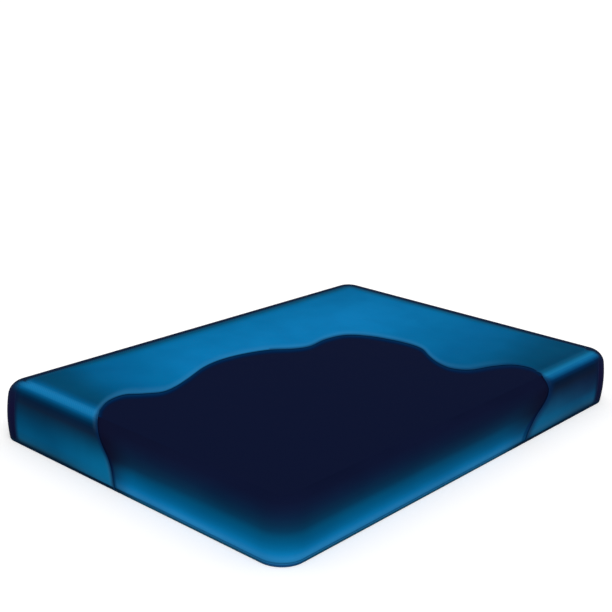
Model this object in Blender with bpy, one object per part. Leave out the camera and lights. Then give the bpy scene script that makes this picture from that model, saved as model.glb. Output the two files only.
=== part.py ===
"""A free-flow waterbed mattress, opened at one corner to show the water it holds.

Metres, +Z up. The origin is the middle of the underside. The foot end faces -Y, the head end
faces +Y, and the skin is cut away round the corner between the foot end and the +X side.
"""
import math

import bmesh
import bpy
import numpy as np
from mathutils import Vector

# Size of the filled mattress: over the bulge of its walls, and from the floor to the top
WIDTH = 1.524
LENGTH = 2.134
DEPTH = 0.229

# Form that the water gives the skin
CORNER_RADIUS = 0.100
SHOULDER_RADIUS = 0.060
WALL_LEAN = math.radians(9)

# Sheets, and the clearance that every two neighbours keep
SKIN_THICKNESS = 0.0006
TAPE_THICKNESS = 0.0006
PATCH_THICKNESS = 0.0006
CLEARANCE = 0.0003

# Seams
TOP_TAPE_LAP = 0.026
TOP_TAPE_TURN = math.radians(25)
BOTTOM_STRIP_HEIGHT = 0.012

# Smoothness of the round stretches
CORNER_STEPS = 12
WALL_STEPS = 10
SHOULDER_STEPS = 8
CUT_STEPS = 4
TURNED_STEPS = 48

# Fill valve, in the middle of the head end
VALVE_PATCH_RADIUS = 0.055
VALVE_PATCH_RINGS = 4
FLANGE_RADIUS = 0.031
FLANGE_THICKNESS = 0.0016
NECK_RADIUS = 0.0190
NECK_BORE_RADIUS = 0.0140
NECK_LENGTH = 0.014
PLUG_SLACK = 0.0003
PLUG_HEAD_RADIUS = 0.0172
PLUG_HEAD_THICKNESS = 0.0020
PLUG_LENGTH = 0.0100
PLUG_TAPER = 0.0010
GASKET_RADIUS = 0.0186
GASKET_HOLE_RADIUS = 0.0110
GASKET_THICKNESS = 0.0015
CAP_WALL = 0.0030
CAP_TOP_THICKNESS = 0.0025
CAP_THREAD_SLACK = 0.0004
CAP_EDGE_ROUND = 0.0012
CAP_FOOT_GAP = 0.0020
CAP_RIBS = 24
CAP_RIB_STEPS = 3
CAP_GROOVE_DEPTH = 0.0007

# Where the skin ends on the foot wall: height as a share of the depth, place as a share of half the width
FOOT_CUT_SHARES = (
    (0.00, -0.076), (0.19, -0.080), (0.33, -0.086), (0.45, -0.098), (0.55, -0.116), (0.64, -0.141),
    (0.73, -0.165), (0.81, -0.184), (0.88, -0.203), (0.93, -0.222), (0.96, -0.236), (0.984, -0.252),
    (0.996, -0.266), (1.00, -0.280),
)
# Where it ends on the right wall: height as a share of the depth, place as a share of half the length
SIDE_CUT_SHARES = (
    (0.00, 0.345), (0.18, 0.362), (0.33, 0.392), (0.45, 0.418), (0.54, 0.446), (0.63, 0.470),
    (0.71, 0.484), (0.80, 0.490), (0.88, 0.495), (0.94, 0.503), (0.965, 0.510), (0.984, 0.518),
    (0.996, 0.527), (1.00, 0.536),
)
# The waves of the cut between those two ends, as shares of half the width and half the length
TOP_CUT_SHARES = (
    (-0.318, -0.910), (-0.375, -0.840), (-0.390, -0.765), (-0.345, -0.704), (-0.303, -0.640),
    (-0.318, -0.565), (-0.372, -0.465), (-0.436, -0.345), (-0.454, -0.245), (-0.432, -0.140),
    (-0.370, -0.038), (-0.292, 0.045), (-0.267, 0.135), (-0.278, 0.240), (-0.248, 0.340),
    (-0.150, 0.406), (-0.015, 0.434), (0.115, 0.440), (0.230, 0.414), (0.330, 0.367),
    (0.430, 0.329), (0.525, 0.322), (0.605, 0.366), (0.662, 0.460), (0.725, 0.535),
    (0.810, 0.561), (0.890, 0.548),
)

# Derived: the wall is one shallow arc, the shoulder a tighter arc that carries on from it
BASE = SKIN_THICKNESS + CLEARANCE
WALL_HALF_HEIGHT = (DEPTH - SHOULDER_RADIUS * (1 - math.sin(WALL_LEAN)) - BASE) / 2
WALL_MIDDLE = BASE + WALL_HALF_HEIGHT
BULGE_RADIUS = WALL_HALF_HEIGHT / math.sin(WALL_LEAN)
CREST_INSET = BULGE_RADIUS - (BULGE_RADIUS - SHOULDER_RADIUS) * math.cos(WALL_LEAN)
QUARTER = math.pi / 2


def linear(red, green, blue):
    """Colour in linear light for a colour given as it looks, 0 to 255."""
    return tuple((part / 255) ** 2.2 for part in (red, green, blue)) + (1.0,)


def material(name, color, roughness):
    """Plain finish of one sub-part."""
    finish = bpy.data.materials.new(name)
    finish.use_nodes = True
    shader = finish.node_tree.nodes["Principled BSDF"]
    shader.inputs["Base Color"].default_value = color
    shader.inputs["Roughness"].default_value = roughness
    shader.inputs["Metallic"].default_value = 0.0
    finish.diffuse_color = color
    return finish


SKIN_BLUE = linear(6, 108, 164)
SEAM_NAVY = linear(12, 24, 52)
WATER_NAVY = linear(14, 24, 52)
VALVE_BLUE = linear(30, 88, 140)
PLUG_WHITE = linear(206, 212, 214)
GASKET_BLACK = linear(26, 26, 28)


def wall_rows(lift, low, high, steps):
    """Points up the wall's arc, each an inset from the widest line and a height.

    lift is how far they stand out from the skin's outer face.
    """
    radius = BULGE_RADIUS + lift
    return [
        (BULGE_RADIUS - radius * math.cos(angle), WALL_MIDDLE + radius * math.sin(angle))
        for angle in np.linspace(low, high, steps + 1)
    ]


def shoulder_rows(lift, low, high, steps):
    """Points up the shoulder's arc, from where the wall ends to the crest at a quarter turn."""
    radius = SHOULDER_RADIUS + lift
    middle = DEPTH - SHOULDER_RADIUS
    return [
        (CREST_INSET - radius * math.cos(angle), middle + radius * math.sin(angle))
        for angle in np.linspace(low, high, steps + 1)
    ]


def side_rows(lift, low=-WALL_LEAN, high=QUARTER):
    """The whole side, from the bottom edge over the shoulder."""
    wall = wall_rows(lift, low, WALL_LEAN, WALL_STEPS)
    return wall[:-1] + shoulder_rows(lift, WALL_LEAN, high, SHOULDER_STEPS)


def corner_stations(corner, start=0.0, end=QUARTER, steps=CORNER_STEPS):
    """Places round one corner. Corner 0 is head right, 1 head left, 2 foot left, 3 foot right.

    A place is the corner's centre and the direction that the wall faces there.
    """
    reach_x = WIDTH / 2 - CORNER_RADIUS
    reach_y = LENGTH / 2 - CORNER_RADIUS
    centre = (reach_x if corner in (0, 3) else -reach_x, reach_y if corner in (0, 1) else -reach_y)
    turn = corner * QUARTER
    return [
        (centre, (math.cos(turn + angle), math.sin(turn + angle)))
        for angle in np.linspace(start, end, steps + 1)
    ]


def all_round():
    """Places round all four corners."""
    return [station for corner in range(4) for station in corner_stations(corner)]


def smooth_line(points, steps):
    """Catmull-Rom curve through the points, with so many steps between each two."""
    knots = np.array(points, dtype=float)
    knots = np.vstack([2 * knots[0] - knots[1], knots, 2 * knots[-1] - knots[-2]])
    line = []
    for before, start, end, after in zip(knots, knots[1:], knots[2:], knots[3:]):
        for share in np.arange(steps) / steps:
            bend = share * (2 * before - 5 * start + 4 * end - after) + share ** 2 * (
                3 * start - before - 3 * end + after)
            line.append(start + (share * (end - before) + share * bend) / 2)
    line.append(knots[-2])
    return np.array(line)


def cut_height_table(shares, half_size):
    """Heights and places of a cut down one wall."""
    return smooth_line(shares, CUT_STEPS) * (DEPTH, half_size)


FOOT_CUT = cut_height_table(FOOT_CUT_SHARES, WIDTH / 2)
SIDE_CUT = cut_height_table(SIDE_CUT_SHARES, LENGTH / 2)


def top_cut_line():
    """The cut across the top, from the crest of the foot wall to the crest of the right wall."""
    waves = [(across * WIDTH / 2, along * LENGTH / 2) for across, along in TOP_CUT_SHARES]
    foot_end = (FOOT_CUT[-1][1], -(LENGTH / 2 - CREST_INSET))
    side_end = (WIDTH / 2 - CREST_INSET, SIDE_CUT[-1][1])
    return smooth_line([foot_end] + waves + [side_end], CUT_STEPS)


TOP_CUT = top_cut_line()
END_STEPS = 2 * CUT_STEPS


def foot_cut_station(inset, height):
    """End of the skin on the foot side, for one row of a sheet."""
    if inset > CREST_INSET:
        end = TOP_CUT[:END_STEPS]
        across = np.interp(inset - LENGTH / 2, end[:, 1], end[:, 0])
    else:
        across = np.interp(height, FOOT_CUT[:, 0], FOOT_CUT[:, 1])
    return (across, CORNER_RADIUS - LENGTH / 2), (0.0, -1.0)


def side_cut_station(inset, height):
    """End of the skin on the right side, for one row of a sheet."""
    if inset > CREST_INSET:
        end = TOP_CUT[-END_STEPS:]
        along = np.interp(WIDTH / 2 - inset, end[:, 0], end[:, 1])
    else:
        along = np.interp(height, SIDE_CUT[:, 0], SIDE_CUT[:, 1])
    return (WIDTH / 2 - CORNER_RADIUS, along), (1.0, 0.0)


def place(station, inset, height):
    """Point of a sheet, where a station is fixed or follows the cut from row to row."""
    centre, facing = station(inset, height) if callable(station) else station
    reach = CORNER_RADIUS - inset
    return Vector((centre[0] + facing[0] * reach, centre[1] + facing[1] * reach, height))


def new_piece(name, bm, finish, crease=math.radians(30)):
    """Object of a finished mesh, shaded smooth up to its creases."""
    mesh = bpy.data.meshes.new(name)
    bm.to_mesh(mesh)
    bm.free()
    mesh.shade_smooth()
    mesh.set_sharp_from_angle(angle=crease)
    mesh.materials.append(finish)
    piece = bpy.data.objects.new(name, mesh)
    bpy.context.scene.collection.objects.link(piece)
    return piece


def thicken(piece, thickness):
    """Sheet of even thickness under the modelled outer face."""
    shell = piece.modifiers.new("thickness", "SOLIDIFY")
    shell.thickness = thickness
    shell.offset = -1.0
    shell.use_even_offset = True


def skin_grid(bm, rows, stations, closed=False):
    """Quads over a side of the mattress, one row above the other."""
    grid = [[bm.verts.new(place(station, *row)) for station in stations] for row in rows]
    for lower, upper in zip(grid, grid[1:]):
        pairs = list(zip(lower, upper))
        for (low, high), (next_low, next_high) in zip(pairs, pairs[1:] + pairs[:closed]):
            bm.faces.new((low, next_low, next_high, high))
    return grid


def swept_sheet(name, rows, stations, thickness, finish, closed=False):
    """Sheet that follows the mattress's side along its stations."""
    bm = bmesh.new()
    skin_grid(bm, rows, stations, closed)
    piece = new_piece(name, bm, finish)
    thicken(piece, thickness)
    return piece


def flat_sheet(name, outline, height, thickness, finish):
    """Flat sheet inside an outline, with its upper face at the height."""
    bm = bmesh.new()
    bm.faces.new([bm.verts.new((x, y, height)) for x, y in outline])
    piece = new_piece(name, bm, finish)
    thicken(piece, thickness)
    return piece


def water_charge():
    """The water, which fills the skin to its shoulders and stands open at the cut."""
    bm = bmesh.new()
    grid = skin_grid(bm, side_rows(-BASE), all_round(), closed=True)
    bm.faces.new(grid[-1])
    bm.faces.new(reversed(grid[0]))
    new_piece("water_charge", bm, material("water", WATER_NAVY, 0.25))


def top_and_bottom_panels(vinyl):
    """Flat panels, the upper one inside the crest and cut in waves, the lower one out to the strip."""
    rim = CREST_INSET + CLEARANCE
    side_end = place(side_cut_station, rim, DEPTH)
    foot_end = place(foot_cut_station, rim, DEPTH)
    crest = [place(station, rim, DEPTH) for corner in range(3) for station in corner_stations(corner)]
    outline = [point.xy for point in [side_end] + crest + [foot_end]]
    waves = [point for point in TOP_CUT if point[0] < side_end.x and point[1] > foot_end.y]
    flat_sheet("top_panel", outline + waves, DEPTH, SKIN_THICKNESS, vinyl)

    strip_foot = side_rows(CLEARANCE + TAPE_THICKNESS)[0]
    edge = [place(station, *strip_foot).xy for station in all_round()]
    flat_sheet("bottom_panel", edge, SKIN_THICKNESS, SKIN_THICKNESS, vinyl)


def wall_panels(vinyl):
    """Four wall panels, each from the middle of one corner to the middle of the next or to the cut."""
    joint = CLEARANCE / (CORNER_RADIUS - CREST_INSET)
    middle = QUARTER / 2
    half_steps = CORNER_STEPS // 2
    before = [corner_stations(corner, 0.0, middle - joint / 2, half_steps) for corner in range(3)]
    after = [corner_stations(corner, middle + joint / 2, QUARTER, half_steps) for corner in range(3)]
    runs = {
        "right_side_wall": [side_cut_station] + before[0],
        "head_wall": after[0] + before[1],
        "left_side_wall": after[1] + before[2],
        "foot_wall": after[2] + [foot_cut_station],
    }
    return {
        name: swept_sheet(name, side_rows(0.0), stations, SKIN_THICKNESS, vinyl)
        for name, stations in runs.items()
    }


def seams(navy):
    """Tape over the top weld, strip round the bottom weld, and a patch on each corner that is left."""
    tape_lift = CLEARANCE + TAPE_THICKNESS
    tape_foot = QUARTER - TOP_TAPE_TURN
    tape_rows = shoulder_rows(tape_lift, tape_foot, QUARTER, CUT_STEPS)
    tape_rows.append((CREST_INSET + TOP_TAPE_LAP, DEPTH + tape_lift))
    left_corners = [station for corner in range(3) for station in corner_stations(corner)]
    tape_run = [side_cut_station] + left_corners + [foot_cut_station]
    swept_sheet("top_seam_tape", tape_rows, tape_run, TAPE_THICKNESS, navy)

    strip_foot = -WALL_LEAN + CLEARANCE / BULGE_RADIUS
    strip_head = strip_foot + BOTTOM_STRIP_HEIGHT / BULGE_RADIUS
    strip_rows = wall_rows(tape_lift, strip_foot, strip_head, 1)
    swept_sheet("bottom_seam_strip", strip_rows, all_round(), TAPE_THICKNESS, navy, closed=True)

    patch_foot = strip_head + CLEARANCE / BULGE_RADIUS
    patch_head = tape_foot - CLEARANCE / SHOULDER_RADIUS
    patch_rows = side_rows(CLEARANCE + PATCH_THICKNESS, patch_foot, patch_head)
    for corner, where in enumerate(("head_right", "head_left", "foot_left")):
        swept_sheet("corner_patch_" + where, patch_rows, corner_stations(corner), PATCH_THICKNESS, navy)


def turned(outline, steps=TURNED_STEPS):
    """Body turned about its Z axis from a closed outline of radius and height."""
    bm = bmesh.new()
    verts = [bm.verts.new((radius, 0, height)) for radius, height in outline]
    loop = zip(verts, verts[1:] + verts[:1])
    edges = [bm.edges.new(pair) for pair in loop if pair[0].co.x or pair[1].co.x]
    bmesh.ops.spin(bm, geom=verts + edges, axis=(0, 0, 1), cent=(0, 0, 0), angle=4 * QUARTER, steps=steps,
                   use_merge=True)
    bmesh.ops.remove_doubles(bm, verts=bm.verts, dist=CLEARANCE / 100)
    bmesh.ops.recalc_face_normals(bm, faces=bm.faces)
    return bm


def lay_on_wall(bm, top):
    """Bend what lies below the height to the wall, whose arc runs from top to bottom."""
    for vert in bm.verts:
        if vert.co.z <= top:
            vert.co.z -= BULGE_RADIUS - math.sqrt(BULGE_RADIUS ** 2 - vert.co.y ** 2)


def ribbed(bm, radius):
    """Press a groove between every two ribs into the outermost points of a turned body."""
    step = 4 * QUARTER / (CAP_RIBS * CAP_RIB_STEPS)
    groove = 1 - CAP_GROOVE_DEPTH / radius
    for vert in bm.verts:
        outermost = vert.co.xy.length > radius - CAP_EDGE_ROUND / 2
        if outermost and round(math.atan2(vert.co.y, vert.co.x) / step) % CAP_RIB_STEPS == 0:
            vert.co.xy *= groove


def fill_valve(head_wall, vinyl):
    """Fill valve: doubler patch, flanged neck, stopper, gasket and ribbed screw cap.

    Heights run outwards from the head wall's outer face, along the valve's axis.
    """
    axis = bpy.data.objects.new("valve_axis", None)
    axis.location = (0.0, LENGTH / 2, WALL_MIDDLE)
    axis.rotation_euler.x = -QUARTER
    bpy.context.scene.collection.objects.link(axis)

    bore = bpy.data.objects.new("valve_bore", bpy.data.meshes.new("valve_bore"))
    bm = bmesh.new()
    bmesh.ops.create_cone(bm, segments=TURNED_STEPS, cap_ends=True, radius1=NECK_BORE_RADIUS,
                          radius2=NECK_BORE_RADIUS, depth=NECK_LENGTH)
    bm.to_mesh(bore.data)
    bm.free()
    bore.parent = axis
    bore.hide_render = True
    bore.display_type = "WIRE"
    bpy.context.scene.collection.objects.link(bore)
    hole = head_wall.modifiers.new("valve hole", "BOOLEAN")
    hole.object = bore
    hole.operation = "DIFFERENCE"
    hole.solver = "EXACT"

    patch_face = CLEARANCE + PATCH_THICKNESS
    rings = np.linspace(NECK_BORE_RADIUS, VALVE_PATCH_RADIUS, VALVE_PATCH_RINGS + 1)
    patch = turned([(ring, CLEARANCE) for ring in rings] + [(ring, patch_face) for ring in reversed(rings)])
    lay_on_wall(patch, patch_face)

    flange_back = patch_face + CLEARANCE
    flange_face = flange_back + FLANGE_THICKNESS
    neck_end = flange_face + NECK_LENGTH
    body = turned([
        (NECK_BORE_RADIUS, flange_back), (FLANGE_RADIUS, flange_back), (FLANGE_RADIUS, flange_face),
        (NECK_RADIUS, flange_face), (NECK_RADIUS, neck_end), (NECK_BORE_RADIUS, neck_end),
    ])
    lay_on_wall(body, flange_face)

    head_seat = neck_end + CLEARANCE
    head_face = head_seat + PLUG_HEAD_THICKNESS
    shank = NECK_BORE_RADIUS - PLUG_SLACK
    tip = head_seat - PLUG_LENGTH
    plug = turned([
        (0.0, tip), (shank - PLUG_TAPER, tip), (shank, tip + PLUG_TAPER), (shank, head_seat),
        (PLUG_HEAD_RADIUS, head_seat), (PLUG_HEAD_RADIUS, head_face), (0.0, head_face),
    ])

    gasket_back = head_face + CLEARANCE
    gasket_face = gasket_back + GASKET_THICKNESS
    gasket = turned([
        (GASKET_HOLE_RADIUS, gasket_back), (GASKET_RADIUS, gasket_back),
        (GASKET_RADIUS, gasket_face), (GASKET_HOLE_RADIUS, gasket_face),
    ])

    inside = NECK_RADIUS + CAP_THREAD_SLACK
    outside = inside + CAP_WALL
    ceiling = gasket_face + CLEARANCE
    cap_face = ceiling + CAP_TOP_THICKNESS
    skirt_foot = flange_face + CAP_FOOT_GAP
    cap = turned([
        (inside, skirt_foot), (outside, skirt_foot), (outside, cap_face - CAP_EDGE_ROUND),
        (outside - CAP_EDGE_ROUND, cap_face), (0.0, cap_face), (0.0, ceiling), (inside, ceiling),
    ], steps=CAP_RIBS * CAP_RIB_STEPS)
    ribbed(cap, outside)

    valve_blue = material("valve_vinyl", VALVE_BLUE, 0.4)
    finishes = {
        "valve_patch": (patch, vinyl),
        "valve_body": (body, valve_blue),
        "valve_plug": (plug, material("stopper", PLUG_WHITE, 0.45)),
        "cap_gasket": (gasket, material("gasket", GASKET_BLACK, 0.7)),
        "valve_cap": (cap, material("valve_cap", PLUG_WHITE, 0.35)),
    }
    for name, (bm, finish) in finishes.items():
        new_piece(name, bm, finish).parent = axis


def build():
    """The mattress, from the water outwards."""
    for old in list(bpy.data.objects):
        bpy.data.objects.remove(old, do_unlink=True)
    vinyl = material("vinyl", SKIN_BLUE, 0.42)
    water_charge()
    top_and_bottom_panels(vinyl)
    walls = wall_panels(vinyl)
    seams(material("seam_vinyl", SEAM_NAVY, 0.5))
    fill_valve(walls["head_wall"], vinyl)


build()
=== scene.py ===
import math

import bpy
import numpy as np
from mathutils import Matrix, Vector, kdtree
from mathutils.geometry import delaunay_2d_cdt


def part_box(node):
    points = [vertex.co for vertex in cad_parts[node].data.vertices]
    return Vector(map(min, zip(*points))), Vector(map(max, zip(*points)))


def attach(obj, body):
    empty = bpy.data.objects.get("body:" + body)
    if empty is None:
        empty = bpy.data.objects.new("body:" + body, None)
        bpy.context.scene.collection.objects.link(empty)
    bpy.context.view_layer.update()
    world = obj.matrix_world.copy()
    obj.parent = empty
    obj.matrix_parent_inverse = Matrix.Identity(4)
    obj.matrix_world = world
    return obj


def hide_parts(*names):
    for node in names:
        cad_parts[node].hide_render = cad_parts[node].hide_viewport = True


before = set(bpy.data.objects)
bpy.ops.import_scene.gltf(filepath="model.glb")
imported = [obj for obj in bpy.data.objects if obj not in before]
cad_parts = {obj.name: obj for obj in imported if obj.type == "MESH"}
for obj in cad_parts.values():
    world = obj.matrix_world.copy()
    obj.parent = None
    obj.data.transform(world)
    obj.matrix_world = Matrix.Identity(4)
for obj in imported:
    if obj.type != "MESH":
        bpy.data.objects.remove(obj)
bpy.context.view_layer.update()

# The water
#
# A free-flow mattress holds nothing but tap water, which presses its skin into a box with bulging
# walls and round shoulders. Where the skin is opened, the water stands as it was, dark and still.

WIDTH = 1.524
LENGTH = 2.134
DEPTH = 0.229
CORNER_RADIUS = 0.100
SHOULDER_RADIUS = 0.060
WALL_LEAN = math.radians(9)
SKIN_AND_GAP = 0.0009
QUARTER = math.pi / 2
WALL_HALF_HEIGHT = (DEPTH - SHOULDER_RADIUS * (1 - math.sin(WALL_LEAN)) - SKIN_AND_GAP) / 2
WALL_MIDDLE = SKIN_AND_GAP + WALL_HALF_HEIGHT
BULGE_RADIUS = WALL_HALF_HEIGHT / math.sin(WALL_LEAN)
CREST_INSET = BULGE_RADIUS - (BULGE_RADIUS - SHOULDER_RADIUS) * math.cos(WALL_LEAN)
WALL_GIRTH = 2 * WALL_LEAN * BULGE_RADIUS
CREST_GIRTH = WALL_GIRTH + (QUARTER - WALL_LEAN) * SHOULDER_RADIUS
CREST_X = WIDTH / 2 - CREST_INSET
CREST_Y = LENGTH / 2 - CREST_INSET
BEND_X = WIDTH / 2 - CORNER_RADIUS
BEND_Y = LENGTH / 2 - CORNER_RADIUS

# The line of the cut. Up the foot side and up the right side it is given in shares of the depth
# and of half the side, and over the top in shares of half the width and of half the length.
FOOT_CUT_SHARES = (
    (0.00, -0.071), (0.19, -0.075), (0.33, -0.082), (0.45, -0.095), (0.55, -0.114), (0.64, -0.140),
    (0.73, -0.165), (0.81, -0.184), (0.88, -0.203), (0.93, -0.222), (0.96, -0.236), (0.984, -0.252),
    (0.996, -0.266), (1.00, -0.280),
)
SIDE_CUT_SHARES = (
    (0.00, 0.341), (0.18, 0.350), (0.33, 0.374), (0.45, 0.401), (0.54, 0.432), (0.63, 0.462),
    (0.71, 0.481), (0.80, 0.490), (0.88, 0.492), (0.94, 0.494), (0.965, 0.497), (0.984, 0.502),
    (0.996, 0.510), (1.00, 0.519),
)
TOP_CUT_SHARES = (
    (-0.318, -0.910), (-0.378, -0.840), (-0.390, -0.765), (-0.338, -0.710), (-0.288, -0.648),
    (-0.296, -0.580), (-0.338, -0.488), (-0.402, -0.368), (-0.425, -0.265), (-0.410, -0.156),
    (-0.360, -0.046), (-0.280, 0.034), (-0.240, 0.112), (-0.258, 0.224), (-0.230, 0.325),
    (-0.130, 0.386), (0.000, 0.417), (0.125, 0.430), (0.228, 0.418), (0.330, 0.367),
    (0.430, 0.328), (0.530, 0.316), (0.614, 0.356), (0.666, 0.454), (0.732, 0.526),
    (0.820, 0.546), (0.894, 0.526),
)
SIDE_CUT_STEPS = 6
TOP_CUT_STEPS = 14
CUT_ROWS = 400


def over_the_side(girth, lift=0.0):
    """Inset and height of a point so far up the side from the bottom edge, lifted off the skin."""
    if girth <= WALL_GIRTH:
        angle = girth / BULGE_RADIUS - WALL_LEAN
        radius = BULGE_RADIUS + lift
        return BULGE_RADIUS - radius * math.cos(angle), WALL_MIDDLE + radius * math.sin(angle)
    if girth <= CREST_GIRTH:
        angle = WALL_LEAN + (girth - WALL_GIRTH) / SHOULDER_RADIUS
        radius = SHOULDER_RADIUS + lift
        middle = DEPTH - SHOULDER_RADIUS
        return CREST_INSET - radius * math.cos(angle), middle + radius * math.sin(angle)
    return CREST_INSET + girth - CREST_GIRTH, DEPTH + lift


def smooth_line(points, steps):
    """Curve through the points, with so many steps between each two."""
    knots = np.array(points, dtype=float)
    knots = np.vstack([2 * knots[0] - knots[1], knots, 2 * knots[-1] - knots[-2]])
    line = []
    for before, start, end, after in zip(knots, knots[1:], knots[2:], knots[3:]):
        for share in np.arange(steps) / steps:
            bend = share * (2 * before - 5 * start + 4 * end - after) + share ** 2 * (
                3 * start - before - 3 * end + after)
            line.append(start + (share * (end - before) + share * bend) / 2)
    line.append(knots[-2])
    return np.array(line)


FOOT_CUT = smooth_line(FOOT_CUT_SHARES, SIDE_CUT_STEPS) * (DEPTH, WIDTH / 2)
SIDE_CUT = smooth_line(SIDE_CUT_SHARES, SIDE_CUT_STEPS) * (DEPTH, LENGTH / 2)
TOP_CUT = smooth_line(
    [(FOOT_CUT[-1][1], -CREST_Y)]
    + [(across * WIDTH / 2, along * LENGTH / 2) for across, along in TOP_CUT_SHARES]
    + [(CREST_X, SIDE_CUT[-1][1])], TOP_CUT_STEPS)


def foot_cut(girth):
    """Where the skin ends on the foot side, across the mattress."""
    inset, height = over_the_side(girth)
    if girth <= CREST_GIRTH:
        return np.interp(height, FOOT_CUT[:, 0], FOOT_CUT[:, 1])
    first_stretch = TOP_CUT[:TOP_CUT_STEPS]
    return np.interp(inset - LENGTH / 2, first_stretch[:, 1], first_stretch[:, 0])


def side_cut(girth):
    """Where the skin ends on the right side, along the mattress."""
    inset, height = over_the_side(girth)
    if girth <= CREST_GIRTH:
        return np.interp(height, SIDE_CUT[:, 0], SIDE_CUT[:, 1])
    last_stretch = TOP_CUT[-TOP_CUT_STEPS:]
    return np.interp(WIDTH / 2 - inset, last_stretch[:, 0], last_stretch[:, 1])


def past_crest(place):
    """Distance outside the crest line, which has round corners; less than 0 inside it."""
    radius = CORNER_RADIUS - CREST_INSET
    over = np.abs(place) - (CREST_X - radius, CREST_Y - radius)
    return np.linalg.norm(np.maximum(over, 0)) + min(max(over[0], over[1]), 0) - radius


def turn(corner, low=0.0, high=QUARTER, steps=16):
    """Places round one corner: 0 is head right, 1 head left, 2 foot left, 3 foot right."""
    centre = (BEND_X if corner in (0, 3) else -BEND_X, BEND_Y if corner in (0, 1) else -BEND_Y)
    angles = corner * QUARTER + np.linspace(low, high, steps + 1)
    return [(centre, (math.cos(angle), math.sin(angle))) for angle in angles]


def straight(places, stops):
    """More places between each two on a straight stretch, so many metres apart at most."""
    dense = [places[0]]
    for (start, _), (end, facing) in zip(places, places[1:]):
        count = max(1, math.ceil(math.dist(start, end) / stops))
        for step in range(1, count + 1):
            share = step / count
            middle = tuple(a + (b - a) * share for a, b in zip(start, end))
            dense.append((middle, facing))
    return dense


def point(place, girth, lift=0.0):
    """Point of the mattress's side at a place."""
    (x, y), (facing_x, facing_y) = place
    inset, height = over_the_side(girth, lift)
    reach = CORNER_RADIUS - inset
    return x + facing_x * reach, y + facing_y * reach, height


TO_FAR_CORNER = (-0.66, 0.75)
RUN_SHARE = 0.3


def foreshortened(place):
    """Place where lengths towards the far corner count for less, as the airbrushed fades run."""
    x, y, z = place
    run = x * TO_FAR_CORNER[0] + y * TO_FAR_CORNER[1]
    return x * TO_FAR_CORNER[1] - y * TO_FAR_CORNER[0], run * RUN_SHARE, z


cut_points = [(x, y, DEPTH) for x, y in TOP_CUT]
for girth in np.linspace(0, CREST_GIRTH, CUT_ROWS):
    inset, height = over_the_side(girth)
    cut_points.append((foot_cut(girth), inset - LENGTH / 2, height))
    cut_points.append((WIDTH / 2 - inset, side_cut(girth), height))
cut_line = kdtree.KDTree(len(cut_points))
faded_line = kdtree.KDTree(len(cut_points))
for index, place in enumerate(cut_points):
    cut_line.insert(place, index)
    faded_line.insert(foreshortened(place), index)
cut_line.balance()
faded_line.balance()


def grid_faces(grid, closed):
    """Faces between the rows and columns of a grid of points, which may go full circle."""
    rows, columns = grid.shape[:2]
    numbers = np.arange(rows * columns).reshape(rows, columns)
    if closed:
        numbers = np.hstack([numbers, numbers[:, :1]])
    faces = [numbers[:-1, :-1], numbers[:-1, 1:], numbers[1:, 1:], numbers[1:, :-1]]
    return np.stack(faces, axis=-1).reshape(-1, 4).tolist()


def new_piece(name, points, faces, marks=None):
    """Smooth mesh, with any marks stored on its points, and each one's way to the cut."""
    mesh = bpy.data.meshes.new(name)
    mesh.from_pydata(np.asarray(points).tolist(), [], faces)
    marks = dict(marks or {})
    marks["from_cut"] = [faded_line.find(foreshortened(p))[2] for p in points]
    for mark, values in marks.items():
        stored = mesh.attributes.new(mark, "FLOAT", "POINT")
        stored.data.foreach_set("value", np.asarray(values, dtype=np.float32).ravel())
    mesh.shade_smooth()
    piece = bpy.data.objects.new(name, mesh)
    bpy.context.scene.collection.objects.link(piece)
    return piece


def look(red, green, blue):
    """Linear colour for one given as it looks, 0 to 255."""
    shares = [part / 255 for part in (red, green, blue)]
    return tuple(s / 12.92 if s <= 0.04045 else ((s + 0.055) / 1.055) ** 2.4 for s in shares) + (1.0,)


class Wire:
    """A value on its way through the nodes, on which sums are written as on a number."""

    def __init__(self, nodes, socket):
        self.nodes, self.socket = nodes, socket

    def __add__(self, other):
        return self.nodes.math("ADD", self, other)

    def __sub__(self, other):
        return self.nodes.math("SUBTRACT", self, other)

    def __rsub__(self, other):
        return self.nodes.math("SUBTRACT", other, self)

    def __mul__(self, other):
        return self.nodes.math("MULTIPLY", self, other)

    def __truediv__(self, other):
        return self.nodes.math("DIVIDE", self, other)

    def __rtruediv__(self, other):
        return self.nodes.math("DIVIDE", other, self)

    __radd__ = __add__
    __rmul__ = __mul__

    def rise(self, low, high, foot=0.0, head=1.0):
        """Soft step from foot to head while the value goes from low to high."""
        return self.nodes.node(
            "MapRange", {"interpolation_type": "SMOOTHSTEP"},
            {"Value": self, "From Min": low, "From Max": high, "To Min": foot, "To Max": head})

    def ramp(self, *stops):
        """Colour for the value, between stops of a place from 0 to 1 and a colour."""
        return self.nodes.node("ValToRGB", {"stops": stops}, {"Fac": self})


class Nodes:
    """The nodes of a finish or of the surround, written one after the other."""

    def __init__(self, tree):
        self.tree = tree

    def feed(self, socket, value):
        """Give a socket a value or a link."""
        if isinstance(value, Wire):
            self.tree.links.new(value.socket, socket)
        else:
            socket.default_value = value

    def node(self, kind, settings, sockets, output=0):
        """Any node: its settings come first, then the values or links of its sockets."""
        node = self.tree.nodes.new("ShaderNode" + kind)
        for name, value in settings.items():
            if name == "stops":
                node.color_ramp.elements[0].position, node.color_ramp.elements[0].color = value[0]
                node.color_ramp.elements[1].position, node.color_ramp.elements[1].color = value[-1]
                for place, color in value[1:-1]:
                    node.color_ramp.elements.new(place).color = color
            else:
                setattr(node, name, value)
        for name, value in sockets.items():
            self.feed(node.inputs[name], value)
        return Wire(self, node.outputs[output])

    def math(self, operation, first, second):
        return self.node("Math", {"operation": operation}, {0: first, 1: second})


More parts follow.
